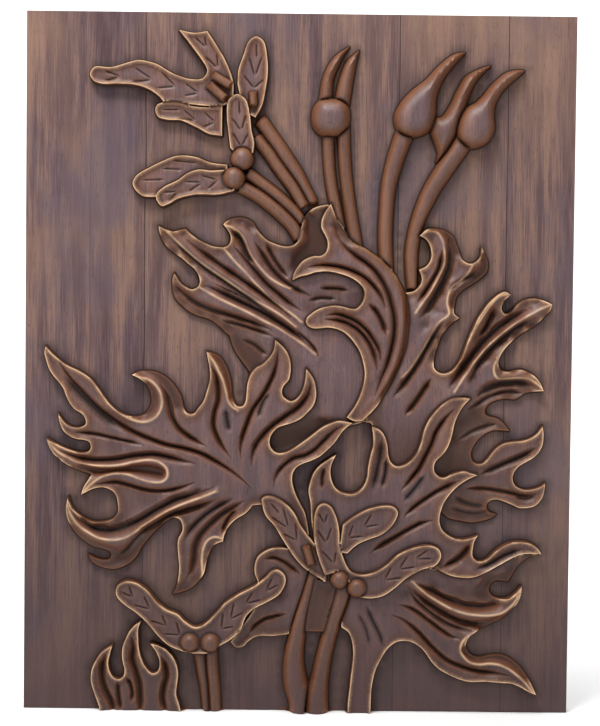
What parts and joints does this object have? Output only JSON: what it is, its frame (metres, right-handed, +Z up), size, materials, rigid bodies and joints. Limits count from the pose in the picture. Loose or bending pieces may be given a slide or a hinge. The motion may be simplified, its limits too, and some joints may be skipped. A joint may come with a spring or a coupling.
{
  "type": "carved wall panel",
  "caption": "Upright rectangular wood panel carved in low relief with lobed leaves, seed wings and long-beaked buds, with a flat back for a wall.",
  "frame": {"origin": "centre of the flat back face", "axes": "+Z up along the panel's height, +X to the right of someone facing the carving, +Y from the carving into the wall"},
  "size_m": [0.6, 0.0443, 0.765],
  "materials": {
    "stained_wood": "dark walnut stain, satin wax"
  },
  "bodies": {
    "root": {"carved_panel": "stained_wood"}
  },
  "joints": []
}
